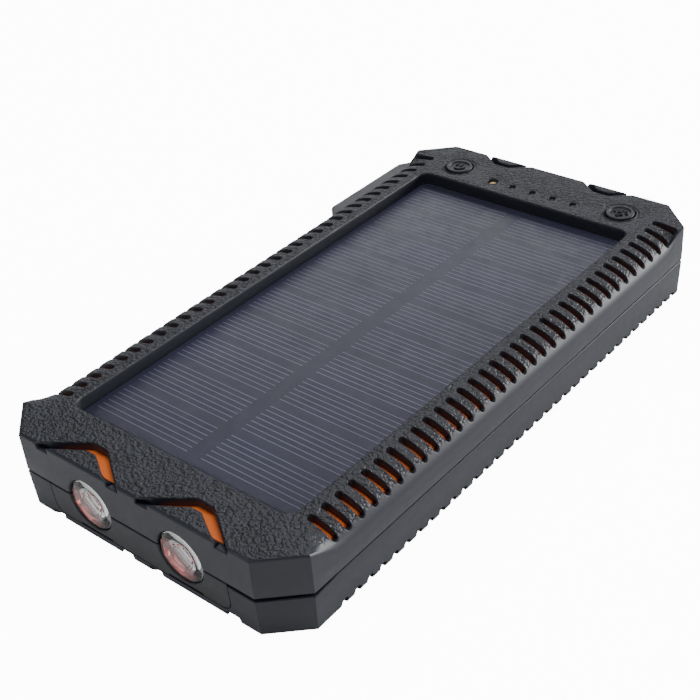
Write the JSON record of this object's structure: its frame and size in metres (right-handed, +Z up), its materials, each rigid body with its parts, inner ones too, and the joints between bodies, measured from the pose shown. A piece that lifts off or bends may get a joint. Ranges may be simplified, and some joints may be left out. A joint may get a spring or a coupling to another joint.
{
  "type": "solar phone charger",
  "caption": "Flat power bank with a solar panel set in its top, slotted black covers over a coloured housing, a lens torch, buttons and USB sockets.",
  "frame": {"origin": "middle of the flat underside, which rests on the table", "axes": "+Z up through the solar panel, +Y along the length towards the socket end, +X towards the side without the bulge"},
  "size_m": [0.0774, 0.1436, 0.0183],
  "materials": {
    "cover_black": "leather-grained soft-touch, satin sides",
    "panel_black": "smooth satin",
    "housing_orange": "satin moulded",
    "button_black": "satin",
    "solar_glazing": "clear resin, semi-gloss",
    "solar_cell": "dark blue-violet silicon with fine silver lines",
    "solar_board": "black laminate",
    "lens_clear": "clear polished",
    "reflector_red": "tinted mirror",
    "led_yellow": "phosphor",
    "light_pipe": "clear",
    "board_green": "solder resist",
    "chip_black": "matt",
    "coil_grey": "ferrite",
    "switch_steel": "stamped",
    "socket_steel": "nickel plated",
    "tongue_white": "moulded",
    "screw_steel": "black zinc",
    "battery_foil": "pouch foil",
    "tape_white": "double-sided tape",
    "foam_grey": "closed cell",
    "ceramic_white": "ceramic",
    "coil_wire": "resistance wire",
    "wire_red": "insulation"
  },
  "bodies": {
    "case": {"upper_shell": "cover_black", "lower_shell": "cover_black", "torch_panel": "panel_black", "upper_housing": "housing_orange", "lower_housing": "housing_orange", "case_screws": "screw_steel", "solar_board": "solar_board", "solar_cells": "solar_cell", "solar_glazing": "solar_glazing", "support_foam": "foam_grey", "lower_battery_cell": "battery_foil", "upper_battery_cell": "battery_foil", "battery_tape": "tape_white", "protection_board": "board_green", "main_board": "board_green", "power_coils": "coil_grey", "control_chips": "chip_black", "indicator_leds": "led_yellow", "light_pipes": "light_pipe", "left_usb_socket": "socket_steel", "right_usb_socket": "socket_steel", "usb_tongues": "tongue_white", "charging_socket": "socket_steel", "charging_tongue": "chip_black", "power_switch": "switch_steel", "torch_switch": "switch_steel", "left_lens": "lens_clear", "right_lens": "lens_clear", "left_reflector": "reflector_red", "right_reflector": "reflector_red", "left_torch_led": "led_yellow", "right_torch_led": "led_yellow", "torch_board": "board_green", "port_cover_pin": "switch_steel", "lighter_cup": "ceramic_white", "lighter_coil": "coil_wire", "battery_leads": "wire_red", "torch_leads": "wire_red", "lighter_leads": "wire_red", "solar_leads": "wire_red"},
    "power_key": {"power_button": "button_black", "power_switch_plunger": "chip_black"},
    "torch_key": {"torch_button": "button_black", "torch_switch_plunger": "chip_black"},
    "port_door": {"port_cover": "button_black"},
    "lighter_door": {"lighter_slide": "panel_black"}
  },
  "joints": [
    {"name": "power_press", "type": "slide", "parent": "case", "child": "power_key", "axis": [0, 0, 1], "range_m": [-0.0003, 0], "stiffness_N_per_m": 4000},
    {"name": "torch_press", "type": "slide", "parent": "case", "child": "torch_key", "axis": [0, 0, 1], "range_m": [-0.0003, 0], "stiffness_N_per_m": 4000},
    {"name": "port_cover_hinge", "type": "hinge", "parent": "case", "child": "port_door", "pos_m": [0, 0.0709, 0.00595], "axis": [-1, 0, 0], "range_deg": [0, 95]},
    {"name": "lighter_cover_slide", "type": "slide", "parent": "case", "child": "lighter_door", "axis": [0, -1, 0], "range_m": [0, 0.0118]}
  ]
}
